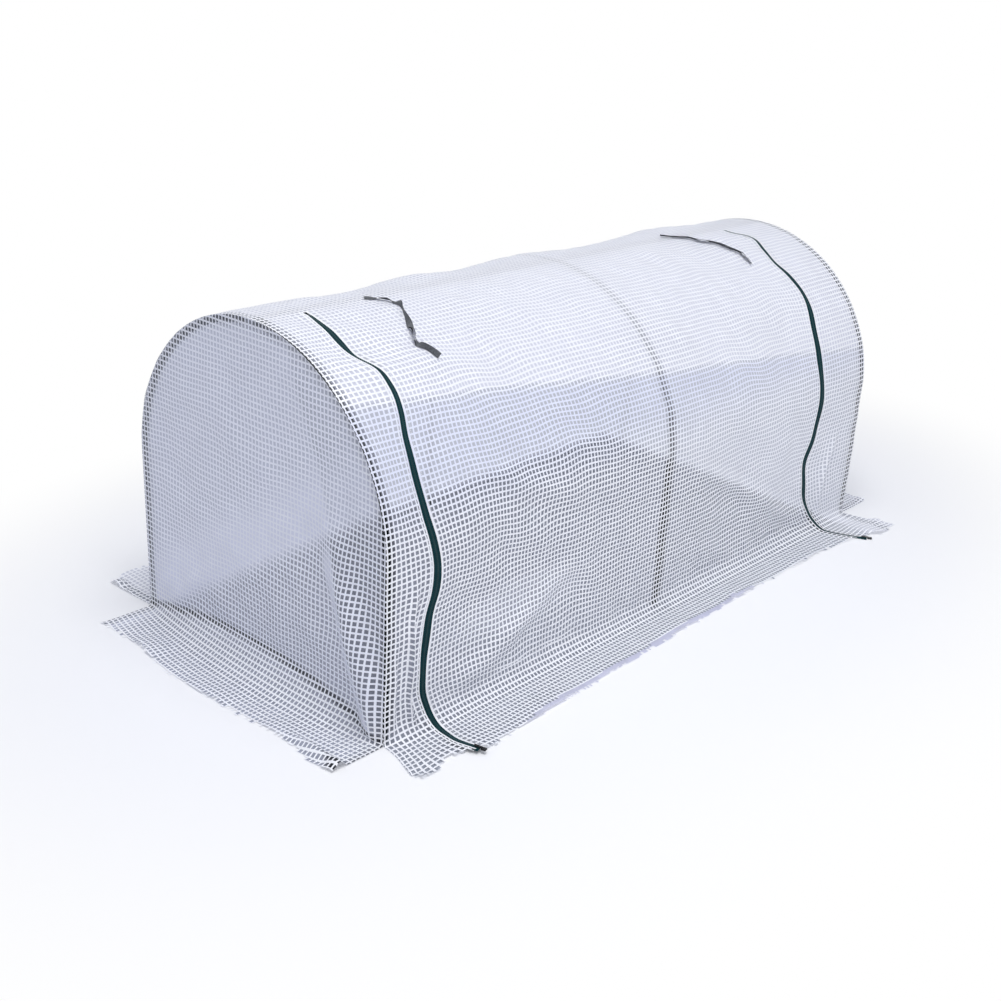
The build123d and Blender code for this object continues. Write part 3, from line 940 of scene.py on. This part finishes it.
def zip_slider(i, station):
    """The CAD's slider and pull, laid on the drawn zip near its lower end."""
    node_low, node_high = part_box(f"zip_slider_{station}")
    home = (node_low + node_high) / 2
    at = FLARE_END + (-home.y - ARCH_RADIUS - FLARE)
    v = np.linspace(at - 0.02, at + 0.02, 9)
    line = surface_line(main_sheet, np.full_like(v, ZIP_X[i]), v, ZIP_PROUD)
    centre, run, normal, side = (part[4] for part in line)
    lie = Matrix(np.stack([side, -run, normal], axis=1).tolist()).to_4x4()
    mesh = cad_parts[f"zip_slider_{station}"].data.copy()
    mesh.transform(Matrix.Translation((-home.x, -home.y, -node_low.z)))
    mesh.transform(Matrix.Translation(Vector(centre)) @ lie)
    mesh.materials.clear()
    mesh.materials.append(slider_metal)
    piece = bpy.data.objects.new(f"slider_{station}", mesh)
    bpy.context.scene.collection.objects.link(piece)
    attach(piece, "root")
    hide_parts(f"zip_slider_{station}")


for i, station in enumerate(("front", "rear")):
    zip_tape(i, station)
    zip_stitches(i, station)
for i, station in enumerate(("front", "rear")):
    zip_slider(i, station)

# Ties: a ribbon doubled over the ridge, its two strands twisting as they hang


def tie_ribbon(station, route, twists, gaps):
    half = np.linspace(0, 1, 90)
    down = np.concatenate([half, half[::-1]])
    strand = np.repeat([-1, 1], len(half))[:, None]
    v = route[0][0] + (route[-1][0] - route[0][0]) * down
    along = smooth_line(route, v)
    u = along - zip_shift(along, v)
    centre, run, normal, _ = surface_line(main_sheet, u, v, 0.0)
    flat = np.cross(normal, -strand * run)
    twist = np.radians(smooth_line(twists, down))[:, None]
    across = flat * np.cos(twist) + normal * np.sin(twist)
    lift = TIE_LIFT + TIE_WIDTH / 2 * np.abs(np.sin(twist)) + TIE_LAP * (strand > 0)
    middle = centre + normal * lift + flat * smooth_line(gaps, down)[:, None] * strand
    line = (middle, run, np.cross(run, across), across)
    points, faces = strip_mesh(line, (-0.5 * TIE_WIDTH, 0, 0.5 * TIE_WIDTH), (0, 0, 0))
    piece = mesh_object(f"ribbon_{station}", points, faces.tolist(), [ribbon_dark], np.zeros(len(faces)))
    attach(piece, "root")
    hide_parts(f"tie_{station}")


for station, *shape in zip(("front", "rear"), TIE_ROUTE, TIE_TWIST, TIE_APART):
    tie_ribbon(station, *shape)

# Frame nodes keep their shape and get their finish, by how their names start

FINISHES = (
    (("leg_", "arch_", "ridge_bar"), steel),
    (("foot_", "ridge_connector"), plastic),
    (("zip_slider",), slider_metal),
    (("zip_",), zip_green),
    (("tie_",), ribbon_dark),
    (("",), tape),
)

for name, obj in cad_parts.items():
    obj.data.materials.clear()
    obj.data.materials.append(next(finish for starts, finish in FINISHES if name.startswith(starts)))

# Studio: a pale floor that fades to white, even pale light and two soft lamps

FLOOR_HALF = 12.0
FLOOR_PALE = (0.88, 0.88, 0.885, 1)
FLOOR_OVAL = (1.5, 0.95)  # half sizes of the floor that keeps its shade, before the fade
WHITE = (1, 1, 1, 1)
SKY_PALE = (0.83, 0.87, 1, 1)


def seen_ray(tree):
    """1 where the camera sees the surface, straight on or in a gloss or through glass."""
    path = node(tree, "ShaderNodeLightPath")
    seen = sums(tree, "MAXIMUM", path.outputs["Is Camera Ray"], path.outputs["Is Glossy Ray"])
    return sums(tree, "MAXIMUM", seen, path.outputs["Is Transmission Ray"])


def fading_floor():
    material, tree = new_material("floor_pale")
    surface = node(tree, "ShaderNodeBsdfDiffuse", {"Color": FLOOR_PALE})
    shares = (1 / FLOOR_OVAL[0], 1 / FLOOR_OVAL[1], 0)
    oval = node(tree, "ShaderNodeVectorMath", {0: object_place(tree), 1: shares}, operation="MULTIPLY")
    away = node(tree, "ShaderNodeVectorMath", {0: oval.outputs[0]}, operation="LENGTH").outputs["Value"]
    fade = sums(tree, "MULTIPLY", spread(tree, away, 0.80, 1.6, 0, 1), seen_ray(tree))
    white = node(tree, "ShaderNodeEmission", {"Color": WHITE, "Strength": 1.0})
    mixed = node(tree, "ShaderNodeMixShader", {0: fade, 1: surface.outputs[0], 2: white.outputs[0]})
    node(tree, "ShaderNodeOutputMaterial", {"Surface": mixed.outputs[0]})
    return material


def floor_piece():
    corners = [(x * FLOOR_HALF, y * FLOOR_HALF, 0) for x, y in ((-1, -1), (1, -1), (1, 1), (-1, 1))]
    mesh_object("floor", corners, [(0, 1, 2, 3)], [fading_floor()], [0], smooth=False)


def pale_world():
    """Even pale light, and white where the camera or glass looks past the floor."""
    world = bpy.data.worlds.new("studio")
    bpy.context.scene.world = world
    world.use_nodes = True
    tree = world.node_tree
    tree.nodes.clear()
    light = node(tree, "ShaderNodeBackground", {"Color": SKY_PALE, "Strength": 0.51})
    white = node(tree, "ShaderNodeBackground", {"Color": WHITE, "Strength": 1.0})
    mixed = node(tree, "ShaderNodeMixShader", {0: seen_ray(tree), 1: light.outputs[0], 2: white.outputs[0]})
    node(tree, "ShaderNodeOutputWorld", {"Surface": mixed.outputs[0]})


def soft_lamp(name, place, size, watts):
    """Square lamp turned to the middle of the tunnel."""
    data = bpy.data.lights.new(name, "AREA")
    data.shape = "SQUARE"
    data.size = size
    data.energy = watts
    obj = bpy.data.objects.new(name, data)
    obj.location = place
    obj.rotation_euler = (Vector((0, 0, 0.3)) - Vector(place)).to_track_quat("-Z", "Y").to_euler()
    bpy.context.scene.collection.objects.link(obj)


floor_piece()
pale_world()
soft_lamp("key", (-1.4, -1.7, 6.8), 4.0, 304)
soft_lamp("fill", (-1.2, -4.8, 1.7), 3.0, 41)

# Camera

CAMERA_PLACE = (-2.6852, -2.2649, 1.633)
HEADING, PITCH, ROLL = (math.radians(a) for a in (48.16, 22.69, 3.03))
SENSOR = 36.0
FOCAL_PIXELS, PHOTO_PIXELS = 1321, 1001


def camera_turn():
    """Rotation of a camera that looks along its heading and down, and is rolled."""
    level = Vector((math.cos(HEADING), -math.sin(HEADING), 0))
    forward = Vector((math.sin(HEADING) * math.cos(PITCH), math.cos(HEADING) * math.cos(PITCH),
                      -math.sin(PITCH)))
    upright = level.cross(forward)
    right = level * math.cos(ROLL) + upright * math.sin(ROLL)
    up = upright * math.cos(ROLL) - level * math.sin(ROLL)
    return Matrix((right, up, -forward)).transposed().to_4x4()


camera_data = bpy.data.cameras.new("camera")
camera_data.sensor_width = SENSOR
camera_data.lens = SENSOR * FOCAL_PIXELS / PHOTO_PIXELS
camera = bpy.data.objects.new("camera", camera_data)
camera.matrix_world = Matrix.Translation(CAMERA_PLACE) @ camera_turn()
bpy.context.scene.collection.objects.link(camera)
bpy.context.scene.camera = camera
bpy.context.scene.view_settings.view_transform = "Standard"
